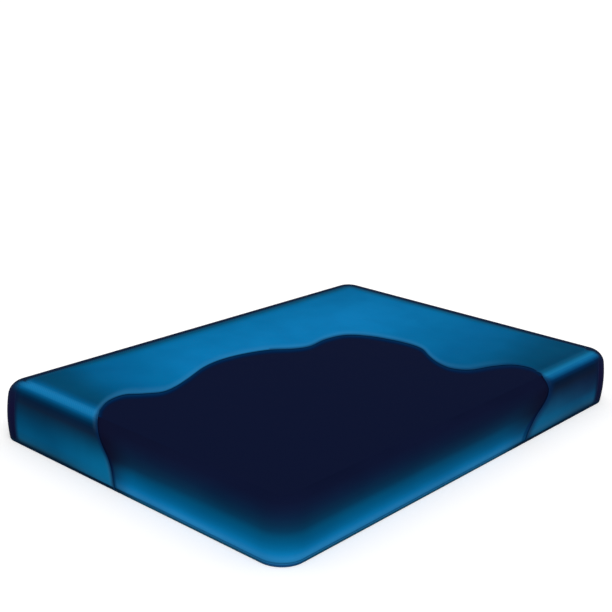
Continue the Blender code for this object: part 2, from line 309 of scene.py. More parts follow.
class Finish(Nodes):
    """The finish of one stuff: a Principled shader, and what feeds it."""

    def __init__(self, name, **settings):
        self.material = bpy.data.materials.new(name)
        self.material.use_nodes = True
        super().__init__(self.material.node_tree)
        self.shader = self.tree.nodes["Principled BSDF"]
        for socket, value in settings.items():
            self.feed(self.shader.inputs[socket.replace("_", " ")], value)
        self.place = self.node("TexCoord", {}, {}, "Object")
        self.x, self.y, self.z = (
            self.node("SeparateXYZ", {}, {"Vector": self.place}, axis) for axis in range(3))

    def mark(self, name):
        """A mark stored on the mesh's points."""
        return self.node("Attribute", {"attribute_name": name}, {}, "Fac")

    def mix(self, share, first, second, blend="MIX"):
        """Second colour over the first, as far as the share says."""
        # This node has a socket A, B and Result for each kind of value, so they go by number
        settings = {"data_type": "RGBA", "blend_type": blend}
        return self.node("Mix", settings, {0: share, 6: first, 7: second}, 2)

    def noise(self, scale, detail=2.0, stretch=(1, 1, 1)):
        """Cloudy value from 0 to 1, with so many clouds a metre."""
        place = self.node("Mapping", {}, {"Vector": self.place, "Scale": stretch})
        return self.node("TexNoise", {}, {"Vector": place, "Scale": scale, "Detail": detail})

    def colour(self, value):
        self.feed(self.shader.inputs["Base Color"], value)

    def roughness(self, value):
        self.feed(self.shader.inputs["Roughness"], value)

    def relief(self, height, distance):
        """Surface relief of a height value, 1 being so many metres."""
        bump = self.node("Bump", {}, {"Height": height, "Distance": distance, "Strength": 1.0})
        self.feed(self.shader.inputs["Normal"], bump)


WATER_LIFT = -SKIN_AND_GAP
WATER_ROWS = 37
WATER_SPACING = 0.020
# Stretches of the near sides where points stand close together, as the painted light and shade change
# at the cut
FOOT_ZONE = (-0.25, 0.0)
RIGHT_ZONE = (0.33, 0.62)
ZONE_SPACING = 0.004
# Distances from the cut at which the level top has lines of points, and its wider grid
POOL_LINES = (-0.105, -0.080, -0.060, -0.044, -0.030, -0.020, -0.010, 0.0, 0.010, 0.020)
POOL_EVERY = 3
POOL_SLACK = 0.001
POOL_X = (-0.64, 0.68)
POOL_Y = (-0.94, 0.98)
POOL_SPACING = 0.08
POOL_MARGIN = 0.008
SAME_PLACE = 1e-6

foot_zone = [((x, -BEND_Y), (0.0, -1.0)) for x in np.arange(*FOOT_ZONE, ZONE_SPACING)]
right_zone = [((BEND_X, y), (1.0, 0.0)) for y in np.arange(*RIGHT_ZONE, ZONE_SPACING)]
round_water = straight(
    turn(0) + turn(1) + turn(2) + foot_zone + turn(3) + right_zone, WATER_SPACING)
water_girths = np.linspace(0, CREST_GIRTH, WATER_ROWS)
water_side = np.array([
    [point(place, girth, WATER_LIFT) for place in round_water] for girth in water_girths])
crest = water_side[-1, :, :2]
ahead_of_cut = np.gradient(TOP_CUT, axis=0)
off_cut = ahead_of_cut[:, ::-1] * (-1, 1) / np.linalg.norm(ahead_of_cut, axis=1)[:, None]
pool = []
for distance in POOL_LINES:
    for place in TOP_CUT[::POOL_EVERY] + off_cut[::POOL_EVERY] * distance:
        pool.append((place, abs(distance) - POOL_SLACK))
for x in np.arange(*POOL_X, POOL_SPACING):
    for y in np.arange(*POOL_Y, POOL_SPACING):
        pool.append((np.array((x, y)), -min(POOL_LINES)))
inside = [place for place, clear in pool
          if past_crest(place) < -POOL_MARGIN and cut_line.find((*place, DEPTH))[2] >= clear]
level = [Vector(place) for place in (*crest, *inside)]
edges = [(index, (index + 1) % len(crest)) for index in range(len(crest))]
_, _, triangles, came_from, _, _ = delaunay_2d_cdt(level, edges, [], 0, SAME_PLACE)
crest_start = (WATER_ROWS - 1) * len(crest)
level_points = np.array([(*place, DEPTH + WATER_LIFT) for place in inside])
number_in_level = [sources[0] for sources in came_from]
level_faces = [[crest_start + number_in_level[corner] for corner in face] for face in triangles]
foot_rim = np.arange(len(crest))[::-1].tolist()
water = new_piece(
    "water_body", np.concatenate([water_side.reshape(-1, 3), level_points]),
    grid_faces(water_side, True) + level_faces + [foot_rim])

SKIN_EDGE_REACH = 0.018
WATER_NAVY = look(14, 21, 48)
clear_dark = Finish("still_water_painted_light_and_shade", Roughness=0.22, IOR=1.333, Specular_IOR_Level=0.0005)
# Painted light and shade: the water is painted lighter low down and darkens to navy towards its top
lit_water = (clear_dark.z / DEPTH).ramp(
    (0.05, look(20, 84, 124)), (0.085, look(36, 124, 178)), (0.13, look(34, 128, 184)),
    (0.20, look(10, 117, 174)),
    (0.28, look(4, 101, 150)), (0.37, look(2, 88, 132)), (0.46, look(3, 77, 115)),
    (0.55, look(6, 56, 88)), (0.64, look(9, 44, 73)), (0.74, look(11, 34, 63)),
    (0.84, look(13, 26, 54)), (0.93, WATER_NAVY))
drift = clear_dark.noise(3.5, 1.0, (1, 1, 3))
cloudy = clear_dark.mix(drift.rise(0.35, 0.75) * 0.15, lit_water, look(2, 70, 112), "MULTIPLY")
past_cut = clear_dark.mark("from_cut")
on_level = clear_dark.z.rise(0.2265, 0.2279)
on_right = clear_dark.x.rise(0.60, 0.70)
# Painted shadow of the skin on the water's side beside the cut, fading with height, and a fainter one
# further off and higher up on the foot side
foot_cut_painted_shadow = (past_cut - clear_dark.z.rise(0.075, 0.135, 0.0, 0.028)).rise(-0.030, 0.090, 1.0, 0.0)
foot_cut_painted_shadow = foot_cut_painted_shadow * clear_dark.z.rise(0.02, 0.08, 0.68, 0.95)
right_cut_painted_shadow = past_cut.rise(-0.020, 0.160, 0.55, 0.0) + past_cut.rise(0.0, 0.60, 0.42, 0.0)
right_cut_painted_shadow = right_cut_painted_shadow * clear_dark.z.rise(0.02, 0.13, 0.62, 1.0)
painted_shadow_by_cut = foot_cut_painted_shadow + (right_cut_painted_shadow - foot_cut_painted_shadow) * on_right
painted_shadow_by_cut = painted_shadow_by_cut * clear_dark.z.rise(0.175, 0.226, 1.0, 0.3) * (1 - on_level)
far_painted_shadow_by_cut = past_cut.rise(0.08, 0.34, 0.34, 0.0) * clear_dark.z.rise(0.08, 0.14) * (1 - on_right)
shaded = clear_dark.mix(far_painted_shadow_by_cut * (1 - on_level), cloudy, look(16, 18, 40))
shaded = clear_dark.mix(painted_shadow_by_cut, shaded, look(14, 13, 34))
# Painted shadow: a dark line on the water right under the skin's edge along the cut
under_edge_shadow_tone = (clear_dark.z / DEPTH).ramp(
    (0.0, look(8, 70, 112)), (0.17, look(4, 48, 86)), (0.30, look(8, 32, 72)),
    (0.42, look(5, 21, 55)), (0.60, look(6, 16, 40)), (0.95, look(12, 16, 42)))
line_share = past_cut - on_right * clear_dark.z.rise(0.06, 0.13, 0.011, 0.0)
painted_shadow_under_edge = line_share.rise(0.003, 0.014, 0.8, 0.0) * (1 - on_level)
with_edge_shadow = clear_dark.mix(painted_shadow_under_edge, shaded, under_edge_shadow_tone)
# Painted light: the water's level top is painted paler along the skin's edge, fading into the navy,
# less so on the right
painted_light_by_skin = (past_cut / SKIN_EDGE_REACH).ramp(
    (0.0, look(8, 60, 104)), (0.15, look(2, 42, 84)), (0.30, look(1, 35, 74)),
    (0.45, look(1, 28, 66)), (0.62, look(6, 24, 57)), (0.85, WATER_NAVY))
painted_light_by_skin = clear_dark.mix(clear_dark.x.rise(0.25, 0.60) * 0.35, painted_light_by_skin, WATER_NAVY)
clear_dark.colour(clear_dark.mix(on_level, with_edge_shadow, painted_light_by_skin))
clear_dark.roughness(drift * 0.1 + 0.18)
clear_dark.relief(clear_dark.noise(9.0, 1.0) + clear_dark.noise(28.0, 1.0) * 0.25, 0.002)
water.data.materials.append(clear_dark.material)
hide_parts("water_charge")
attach(water, "mattress")

# The bottom panel
#
# One sheet of calendered vinyl that lies on the deck, the same stock as the walls. It is cut to
# the mattress's footprint with round corners, and the bottom weld runs round its rim.

BOTTOM_THICKNESS = 0.0006
BOTTOM_SPACING = 0.05
BOTTOM_RINGS = 9


def sheet(name, grid, thickness, closed=False, marks=None):
    """Piece of even thickness under a grid of points on its outer face."""
    grid = np.asarray(grid, dtype=float)
    piece = new_piece(name, grid.reshape(-1, 3), grid_faces(grid, closed), marks)
    shell = piece.modifiers.new("thickness", "SOLIDIFY")
    shell.thickness = thickness
    shell.offset = -1.0
    shell.use_even_offset = True
    return piece


round_bottom = straight(turn(0) + turn(1) + turn(2) + turn(3), BOTTOM_SPACING)
rim = np.array([point(place, 0.0) for place in round_bottom]) * (1, 1, 0)
ring_shares = np.linspace(0.0, 1.0, BOTTOM_RINGS)[:, None, None]
bottom = sheet("bottom_sheet", rim[None] * ring_shares, BOTTOM_THICKNESS, closed=True)

underside = Finish("vinyl_underside", Roughness=0.5, Specular_IOR_Level=0.2)
mottle = underside.noise(14.0, 3.0)
underside.colour(underside.mix(mottle.rise(0.3, 0.7), look(4, 84, 132), look(5, 100, 156)))
underside.roughness(mottle * 0.15 + 0.42)
underside.relief(underside.noise(900.0, 2.0), 0.0002)
bottom.data.materials.append(underside.material)
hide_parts("bottom_panel")
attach(bottom, "mattress")

# The four walls
#
# Wall panels of bright blue vinyl, welded to each other under the corner patches. The water
# bulges them, and each turns over its shoulder to the top weld. Two end at the wavy cut.

WALL_ROWS = 44
WALL_BEND_STEPS = 8
WALL_SPACING = 0.02
VINYL_THICKNESS = 0.0007
# Columns of points crowd towards the cut, where the sheet's rim curls up
CUT_COLUMNS = 60
COLUMN_CROWDING = 2.4
LIP_HEIGHT = 0.0020
LIP_WIDTH = 0.007
# How far back from the cut the sheets are painted darker, as painted shade, on the end wall, the long
# wall and the top
END_FADE = 0.021
LONG_FADE = 0.044
TOP_FADE = 0.007
# How much of its lift a pressed border keeps
PRESSED_SHARE = 0.2
# Where the painted light dies out, measured along each near side from its far corner's bend
FOOT_DUSK = -0.075
FOOT_FADE = 0.105
RIGHT_DUSK = -0.030
RIGHT_FADE = 0.045
FACING_LEAST = 0.01
# How far the corner patches lap past the bend over the end walls and over the long walls
END_LAP = 0.018
LONG_LAP = 0.030
# Girths and distances over which the painted light and shade change, from the bottom edge and from the
# far edges
TONED_GIRTH = 0.4
TONED_EDGE = 0.1

wall_girths = np.linspace(0, CREST_GIRTH, WALL_ROWS)
toward_cut = 1 - np.linspace(1, 0, CUT_COLUMNS) ** COLUMN_CROWDING


def curl(distance):
    """How far the sheet stands off the water at this distance from the cut."""
    return LIP_HEIGHT * math.exp(-(distance / LIP_WIDTH) ** 2)


def side_grid(girths, columns, lift, pressed=False):
    """Points of a sheet over the side, which curls up at the cut; its borders may be pressed."""
    grid = []
    for girth in girths:
        row = []
        stands = lift * PRESSED_SHARE if pressed and girth in (girths[0], girths[-1]) else lift
        for column in columns:
            place = column(girth) if callable(column) else column
            distance = cut_line.find(point(place, girth))[2]
            row.append(point(place, girth, stands + curl(distance)))
        grid.append(row)
    return grid


def foot_columns(start):
    """Places from one across the foot side to the cut."""
    return [
        lambda girth, share=share: (
            (start + (foot_cut(girth) - start) * share, -BEND_Y), (0.0, -1.0))
        for share in toward_cut
    ]


def side_columns(start):
    """Places from one along the right side to the cut."""
    return [
        lambda girth, share=share: (
            (BEND_X, start + (side_cut(girth) - start) * share), (1.0, 0.0))
        for share in toward_cut
    ]


def lit_share(centre, facing):
    """How much painted light a side takes at a place: 1 on the near sides, until each nears its far
    corner.
    """
    from_left = centre[0] + BEND_X - CORNER_RADIUS * math.acos(max(-1, min(1, -facing[1])))
    from_head = BEND_Y - centre[1] - CORNER_RADIUS * math.acos(max(-1, min(1, facing[0])))
    on_foot = (from_left - FOOT_DUSK) / FOOT_FADE if facing[1] < -FACING_LEAST else 0.0
    on_right = (from_head - RIGHT_DUSK) / RIGHT_FADE if facing[0] > FACING_LEAST else 0.0
    return max(0.0, min(1.0, max(on_foot, on_right)))


def side_marks(girths, columns):
    """Marks for the painted light and shade: how far up each point lies, on which wall, how lit, how
    near a corner.
    """
    faces = [abs((column(0.0) if callable(column) else column)[1][0]) for column in columns]
    lit, past_corner = [], []
    for girth in girths:
        for column in columns:
            place = column(girth) if callable(column) else column
            x, y, _ = point(place, girth)
            lit.append(lit_share(*place))
            past_corner.append(max(BEND_X - END_LAP - abs(x), BEND_Y - LONG_LAP - abs(y)))
    return {
        "girth": np.repeat(girths, len(columns)),
        "long_side": np.tile(np.array(faces) ** 2, len(girths)),
        "near": lit,
        "from_far": np.repeat(girths - CREST_GIRTH, len(columns)),
        "past_corner": past_corner,
    }


def bend_start(corner):
    """First half of a corner's bend, up to the weld in its middle."""
    return turn(corner, 0.0, QUARTER / 2, WALL_BEND_STEPS)


def bend_end(corner):
    """Second half of a corner's bend, from the weld on."""
    return turn(corner, QUARTER / 2, QUARTER, WALL_BEND_STEPS)


wall_runs = {
    "right_side_wall": side_columns(BEND_Y)[::-1][:-1] + bend_start(0),
    "head_wall": straight(bend_end(0) + bend_start(1), WALL_SPACING),
    "left_side_wall": straight(bend_end(1) + bend_start(2), WALL_SPACING),
    "foot_wall": bend_end(2)[:-1] + foot_columns(-BEND_X),
}

vinyl = Finish("bright_blue_vinyl_painted_light", Roughness=0.38, Specular_IOR_Level=0.001)


def painted_skin_light(finish):
    """Painted light and shade of the filled skin, from the bottom edge over the painted highlight on
    the shoulder to the broad top.
    """
    up = finish.mark("girth") / TONED_GIRTH
    # Painted shade: walls lighter low down, darkest just under the shoulder, then a painted highlight
    # along the shoulder
    end_wall = up.ramp(
        (0.03, look(14, 50, 70)), (0.055, look(22, 70, 98)), (0.08, look(12, 80, 116)),
        (0.16, look(3, 80, 120)), (0.26, look(2, 68, 104)),
        (0.36, look(6, 52, 82)), (0.42, look(10, 42, 68)), (0.45, look(14, 34, 58)),
        (0.50, look(8, 30, 56)), (0.53, look(1, 40, 70)), (0.56, look(2, 62, 100)),
        (0.59, look(5, 92, 142)), (0.62, look(12, 112, 166)), (0.66, look(17, 117, 174)),
        (0.69, look(14, 112, 166)), (0.72, look(6, 100, 152)), (0.76, look(3, 84, 130)),
        (0.82, look(4, 73, 110)), (0.96, look(3, 76, 110)))
    long_wall = up.ramp(
        (0.03, look(8, 40, 66)), (0.06, look(26, 66, 96)), (0.09, look(24, 78, 112)),
        (0.13, look(14, 75, 112)), (0.17, look(12, 68, 104)),
        (0.22, look(14, 52, 84)), (0.28, look(15, 42, 72)), (0.36, look(14, 32, 60)),
        (0.43, look(14, 26, 48)),
        (0.49, look(6, 25, 50)), (0.525, look(3, 42, 80)), (0.55, look(8, 76, 122)),
        (0.58, look(14, 103, 155)), (0.605, look(15, 109, 157)), (0.63, look(10, 103, 147)),
        (0.66, look(1, 84, 122)), (0.70, look(1, 72, 108)), (0.76, look(4, 66, 100)),
        (0.84, look(3, 70, 106)), (0.96, look(3, 76, 110)))
    sides = finish.mix(finish.mark("long_side").rise(0.2, 0.8), end_wall, long_wall)
    # Painted light over the broad top: lightest towards the head and the left, darker towards the foot
    # end and the right side
    light = finish.y.rise(-1.08, -0.35, 0.28, 1.0) * finish.x.rise(-0.30, 0.85, 1.0, 0.30)
    light = light * finish.x.rise(-0.75, -0.32, 0.80, 1.0) * finish.y.rise(0.50, 1.05, 1.0, 0.86)
    field = light.ramp(
        (0.00, look(2, 56, 86)), (0.30, look(3, 66, 98)), (0.40, look(3, 76, 114)),
        (0.52, look(3, 93, 141)), (0.66, look(4, 100, 153)), (0.80, look(4, 108, 162)),
        (0.93, look(7, 117, 175)), (1.00, look(10, 121, 181)))
    # The painted highlight and shade of the near sides run a hand's breadth in over the top; the far
    # ones don't, and there the top is painted darker towards the far edges
    inward = finish.mark("girth") - CREST_GIRTH
    lit = inward.rise(0.03, 0.14, 1.0, 0.0) * finish.mark("near")
    from_far = finish.mark("from_far")
    top_far_edge_shade = (from_far / TONED_EDGE).ramp(
        (0.0, look(2, 36, 62)), (0.10, look(4, 50, 78)), (0.22, look(10, 70, 104)),
        (0.40, look(18, 88, 128)), (0.90, look(6, 104, 154)))
    far_shade = from_far.rise(0.03, 0.09, 1.0, 0.0) * (1 - lit)
    field = finish.mix(far_shade, field, finish.mix(1.0, top_far_edge_shade, field, "DARKEN"))
    onto_top = finish.mix(lit, field, sides)
    return finish.mix(inward.rise(-0.001, 0.001), sides, onto_top)


walls_tone = painted_skin_light(vinyl)
near_cut = vinyl.mark("from_cut")
# Painted light: the walls are painted lighter towards the cut, low down, more on the end wall
painted_light_by_cut = near_cut.rise(0.0, 0.27, 1.0, 0.0) * vinyl.z.rise(0.06, 0.19, 1.0, 0.0)
painted_light_by_cut = painted_light_by_cut * vinyl.mark("long_side").rise(0.2, 0.8, 0.62, 0.38)
walls_tone = vinyl.mix(painted_light_by_cut, walls_tone, look(10, 114, 160), "LIGHTEN")
corner_shade = vinyl.mark("past_corner").rise(0.002, 0.024, 0.72, 0.0)
corner_shade = corner_shade * vinyl.mark("girth").rise(0.185, 0.230, 1.0, 0.0)
walls_tone = vinyl.mix(corner_shade, walls_tone, look(12, 24, 54))


def cut_end(finish, tone):
    """Colour of a sheet painted a little paler towards its cut, as painted light, and darker over its
    last bit, as painted shade.
    """
    to_cut = finish.mark("from_cut")
    long_side = finish.mark("long_side").rise(0.2, 0.8)
    on_top = (finish.mark("girth") + long_side * 0.022).rise(CREST_GIRTH - 0.03, CREST_GIRTH + 0.02)
    on_side = long_side * (LONG_FADE - END_FADE) + END_FADE
    by_foot = finish.y.rise(-1.0, -0.8, 0.008, 0.0)
    fade = on_side + on_top * (long_side * 0.006 + by_foot + TOP_FADE - on_side)
    unlit = finish.z.rise(0.09, 0.14) * finish.z.rise(0.185, 0.21, 1.0, 0.0)
    # Painted light: a pale rim by the cut, left out in the painted shade under the shoulder and on the
    # top's right part
    pale = to_cut.rise(0.010, 0.026, 0.07, 0.0) * (1 - unlit)
    pale = pale * (1 - on_top * finish.x.rise(0.30, 0.62))
    # Painted shade over the sheet's last bit at the cut
    last = (to_cut / fade).rise(0.0, 1.0, 0.9, 0.0)
    cut_edge_painted_shade = finish.mix(on_top, look(6, 36, 74), look(8, 58, 100))
    return finish.mix(last, finish.mix(pale, tone, look(110, 150, 170)), cut_edge_painted_shade)


walls_tone = cut_end(vinyl, walls_tone)
vinyl_cloud = vinyl.noise(7.0, 3.0)
walls_tone = vinyl.mix(vinyl_cloud.rise(0.3, 0.7) * 0.12, walls_tone, look(0, 60, 90), "MULTIPLY")
vinyl.colour(walls_tone)
vinyl.roughness(vinyl_cloud * 0.12 + 0.34)
vinyl.relief(vinyl.noise(700.0, 2.0) * 0.06 + vinyl.noise(16.0, 2.0), 0.0012)

for node, columns in wall_runs.items():
    grid = side_grid(wall_girths, columns, 0.0)
    marks = side_marks(wall_girths, columns)
    wall = sheet(node + "_vinyl", grid, VINYL_THICKNESS, marks=marks)
    wall.data.materials.append(vinyl.material)
    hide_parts(node)
    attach(wall, "mattress")

# The top panel
#
# The flat sheet that is slept on, of the same vinyl. It is welded to the walls along the crest of
# their shoulders, under the tape, and cut in waves from the foot end across to the right side.

PANEL_RINGS = 26
RING_CROWDING = 2.2
COLUMN_EVERY = 2
HALVINGS = 30
BEYOND_EDGE = 3.0
pole = np.array([CREST_X, -CREST_Y])
column_shares = np.linspace(0, 1, PANEL_RINGS) ** RING_CROWDING

# Each column of points runs from the cut straight away from the near corner to the crest line
columns = []
for cut in TOP_CUT[::COLUMN_EVERY]:
    ray = (cut - pole) / np.linalg.norm(cut - pole)
    near, far = 0.0, BEYOND_EDGE
    for _ in range(HALVINGS):
        half = (near + far) / 2
        near, far = (half, far) if past_crest(cut + ray * half) < 0 else (near, half)
    columns.append([cut + ray * near * share for share in column_shares])
panel = np.array(columns)
panel = np.dstack([panel, np.full(panel.shape[:2], DEPTH)])
for row in panel:
    for place in row:
        place[2] += curl(cut_line.find(place)[2])
flat_places = panel.reshape(-1, 3)
from_foot = flat_places[:, 1] + CREST_Y
from_right = CREST_X - flat_places[:, 0]
nearest = np.minimum(from_foot, from_right)
from_left = flat_places[:, 0] + CREST_X
from_head = CREST_Y - flat_places[:, 1]
# Along the crest the top takes the same painted light as the walls under it
crest_bend = CORNER_RADIUS - CREST_INSET
on_foot = (from_left - crest_bend - FOOT_DUSK) / FOOT_FADE
on_right_side = (from_head - crest_bend - RIGHT_DUSK) / RIGHT_FADE
top_marks = {
    "girth": CREST_GIRTH + nearest,
    "long_side": (from_right < from_foot).astype(float),
    "near": np.clip(np.where(from_foot < from_right, on_foot, on_right_side), 0, 1),
    "from_far": np.minimum(from_left, from_head),
}
top = sheet("top_panel_vinyl", panel, VINYL_THICKNESS, marks=top_marks)

top_vinyl = Finish("bright_blue_top_vinyl_painted_light", Roughness=0.36, Specular_IOR_Level=0.0005)
top_tone = painted_skin_light(top_vinyl)
top_cut = top_vinyl.mark("from_cut")
# Painted light: the top is painted lighter along its cut, most on its left part
cut_rim_painted_light = top_cut.rise(0.0, 0.03, 0.35, 0.0) * top_vinyl.x.rise(0.20, 0.50, 1.0, 0.1)
top_tone = top_vinyl.mix(cut_rim_painted_light, top_tone, look(16, 124, 182))
top_tone = cut_end(top_vinyl, top_tone)
top_cloud = top_vinyl.noise(6.0, 3.0)
top_tone = top_vinyl.mix(top_cloud.rise(0.3, 0.7) * 0.10, top_tone, look(0, 60, 110), "MULTIPLY")
top_vinyl.colour(top_tone)
top_vinyl.roughness(top_cloud * 0.12 + 0.32)
top_vinyl.relief(top_vinyl.noise(700.0, 2.0) * 0.06 + top_vinyl.noise(9.0, 2.0), 0.0012)
top.data.materials.append(top_vinyl.material)
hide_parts("top_panel")
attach(top, "mattress")

# The tape over the top weld
#
# A lap tape heat-sealed over the weld between walls and top, half on the flat and half down the
# shoulder. It is painted with the highlight on the two near edges, and navy on the two far ones as
# a dark line of painted shade.

TAPE_THICKNESS = 0.0006
TAPE_LIFT = 0.0009
TAPE_LAP = 0.026
TAPE_TURN = math.radians(25)
SHOULDER_ROWS = 10
LAP_ROWS = 6
TAPE_BEND_STEPS = 20
SEAM_SPACING = 0.03
tape_girths = np.concatenate([
    np.linspace(CREST_GIRTH - TAPE_TURN * SHOULDER_RADIUS, CREST_GIRTH, SHOULDER_ROWS),
    np.linspace(CREST_GIRTH, CREST_GIRTH + TAPE_LAP, LAP_ROWS)[1:],
])
three_bends = [place for corner in (0, 1, 2) for place in turn(corner, steps=TAPE_BEND_STEPS)]
tape_columns = (
    side_columns(BEND_Y)[::-1][:-1] + straight(three_bends, SEAM_SPACING)[:-1] + foot_columns(-BEND_X))
tape_marks = side_marks(tape_girths, tape_columns)
tape_grid = side_grid(tape_girths, tape_columns, TAPE_LIFT, pressed=True)
tape = sheet("top_seam_tape_vinyl", tape_grid, TAPE_THICKNESS, marks=tape_marks)


def press_ribs(finish, scale):
    """Diagonal ribs, as a heated press leaves them on a weld."""
    settings = {"bands_direction": "DIAGONAL"}
    return finish.node("TexWave", settings, {"Vector": finish.place, "Scale": scale})


FAR_EDGE_SHADE_NAVY = look(6, 22, 48)
sealed = Finish("seam_tape_vinyl_painted_light_and_shade", Roughness=0.4, Specular_IOR_Level=0.0005)
# Painted highlight on the near edges, from the skin's painted light and shade
lit_tape = cut_end(sealed, painted_skin_light(sealed))
ribs = press_ribs(sealed, 60.0)
# The painted dark line of shade is narrower at the left corner's bend, and wider along the head end
line_girth = sealed.mark("girth") + sealed.y.rise(-0.985, -0.945, 0.003, 0.0)
line_girth = line_girth - sealed.y.rise(0.94, 0.97, 0.0, 0.008)
tape_far_painted_shade = line_girth.rise(CREST_GIRTH + 0.008, CREST_GIRTH + 0.018, 1.0, 0.0)
tape_far_painted_shade = (1 - sealed.mark("near")) * tape_far_painted_shade
seam_tone = sealed.mix(tape_far_painted_shade, lit_tape, FAR_EDGE_SHADE_NAVY)
sealed.colour(sealed.mix(ribs * 0.06, seam_tone, look(90, 140, 180), "SCREEN"))
sealed.roughness(ribs * 0.1 + 0.36)
sealed.relief(ribs, 0.0002)
tape.data.materials.append(sealed.material)
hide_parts("top_seam_tape")
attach(tape, "mattress")

# The strip round the bottom weld
#
# A narrow flange of doubled vinyl, pressed and heat-sealed, that runs right round the foot of the
# mattress, and across the opened corner too. It reads as a dark line along the floor.

SEAM_GAP = 0.0003
STRIP_HEIGHT = 0.012
STRIP_ROWS = 5
strip_girths = np.linspace(SEAM_GAP, SEAM_GAP + STRIP_HEIGHT, STRIP_ROWS)
strip_columns = straight(turn(0) + turn(1) + turn(2) + turn(3), SEAM_SPACING)
strip_grid = [[point(place, girth, TAPE_LIFT) for place in strip_columns] for girth in strip_girths]
strip_marks = {"girth": np.repeat(strip_girths, len(strip_columns))}
strip = sheet(
    "bottom_seam_strip_vinyl", strip_grid, TAPE_THICKNESS, closed=True, marks=strip_marks)
flange = Finish("bottom_strip_vinyl", Roughness=0.5, Specular_IOR_Level=0.001)
pressed = press_ribs(flange, 80.0)
closed_tone = flange.mix(flange.noise(5.0) * 0.5, look(0, 18, 38), look(4, 28, 48))
# Painted light: along the opened stretch the strip is painted lighter, as the water above it is, and
# bluer near the opened corner
under_water = flange.x.rise(-0.07, 0.10) * flange.y.rise(0.12, 0.36, 1.0, 0.0)
corner_light = flange.x.rise(0.60, 0.75) * flange.y.rise(-1.05, -0.90, 1.0, 0.0)
beyond_cut = flange.mark("from_cut").rise(0.04, 0.32)
upper_tone = flange.mix(beyond_cut, look(2, 70, 108), look(26, 106, 158))
open_tone = flange.mix(corner_light, look(12, 68, 92), look(16, 66, 112))
open_tone = flange.mix(flange.mark("girth").rise(0.007, 0.013), open_tone, upper_tone)
strip_tone = flange.mix(under_water, closed_tone, open_tone)
flange.colour(flange.mix(pressed * 0.08, strip_tone, look(60, 110, 150), "SCREEN"))
flange.roughness(pressed * 0.1 + 0.45)
flange.relief(pressed, 0.0002)
strip.data.materials.append(flange.material)
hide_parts("bottom_seam_strip")
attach(strip, "mattress")

# The corner patches
#
# Each corner that is left has a vinyl patch heat-sealed over the upright weld of its two walls, from
# the bottom strip up to the tape. Its navy is painted shade, where the rounded corner turns away from
# the light. The fourth went with the skin that was cut away.

PATCH_FOOT = SEAM_GAP + STRIP_HEIGHT + SEAM_GAP
PATCH_HEAD = CREST_GIRTH - TAPE_TURN * SHOULDER_RADIUS - SEAM_GAP
PATCH_RIM = 0.005
PATCH_ROWS = 40
PATCH_BEND_STEPS = 24
# The laps narrow over these girths at the head and the foot, down to these shares
HEAD_TAPER = 0.060
HEAD_SHARE = 0.05
FOOT_TAPER = 0.03
FOOT_SHARE = 0.6
LAP_SHARES = (1.0, 0.9, 0.8, 0.6, 0.3)
LAP_INSIDE = [END_LAP * (1 - share) for share in LAP_SHARES]
patch_girths = np.linspace(PATCH_FOOT, PATCH_HEAD, PATCH_ROWS)
navy = Finish("corner_patch_vinyl", Roughness=0.45, Specular_IOR_Level=0.002)
# Painted shade: dark navy up the height of the patch
upward = (navy.mark("girth") / PATCH_HEAD).ramp(
    (0.0, look(2, 16, 42)), (0.2, look(8, 12, 42)), (0.6, look(14, 10, 44)), (1.0, look(10, 22, 48)))
patch_grain = navy.noise(500.0, 2.0)
# Painted highlight along the patch's rim
rim_painted_highlight = navy.mark("inside_rim").rise(0.0, PATCH_RIM, 0.6, 0.0)
banded = navy.mix(rim_painted_highlight, upward, look(22, 40, 72))
# Painted highlight at the patch's head, where the shoulder's painted light runs on over it
head_light = navy.mark("girth").rise(PATCH_HEAD - 0.045, PATCH_HEAD - 0.010) * navy.mark("near")
banded = navy.mix(head_light, banded, painted_skin_light(navy))
navy.colour(navy.mix(patch_grain * 0.05, banded, look(60, 80, 120), "SCREEN"))
navy.roughness(patch_grain * 0.1 + 0.4)
navy.relief(patch_grain, 0.0001)


def lapped(bend, girth):
    """Places of a corner's bend and of its laps, which narrow towards the patch's round ends."""
    by_head = (PATCH_HEAD - girth) / HEAD_TAPER + HEAD_SHARE
    by_foot = (girth - PATCH_FOOT) / FOOT_TAPER + FOOT_SHARE
    narrow = min(1.0, by_head, by_foot)
    places = list(bend)
    for (x, y), (facing_x, facing_y), way in ((*bend[0], 1), (*bend[-1], -1)):
        lap = (LONG_LAP if abs(facing_x) > 0.5 else END_LAP) * narrow
        beyond = [((x + way * facing_y * lap * share, y - way * facing_x * lap * share),
                   (facing_x, facing_y)) for share in LAP_SHARES]
        places = beyond + places if way > 0 else places + beyond[::-1]
    return places


for corner, where in enumerate(("head_right", "head_left", "foot_left")):
    bend = turn(corner, steps=PATCH_BEND_STEPS)
    grid = [
        [point(place, girth, TAPE_LIFT) for place in lapped(bend, girth)] for girth in patch_girths]
    marks = side_marks(patch_girths, lapped(bend, patch_girths[0]))
    inside_rim = LAP_INSIDE + [PATCH_RIM] * len(bend) + LAP_INSIDE[::-1]
    marks["inside_rim"] = np.tile(inside_rim, len(patch_girths))
    patch = sheet("corner_patch_vinyl_" + where, grid, TAPE_THICKNESS, marks=marks)
    patch.data.materials.append(navy.material)
    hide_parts("corner_patch_" + where)
    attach(patch, "mattress")

# The fill valve
#
# A doubler patch is heat-sealed to the head wall round the hole, and a moulded neck with a flange
# to that. A stopper plugs the neck, and a ribbed screw cap with a rubber gasket covers it.

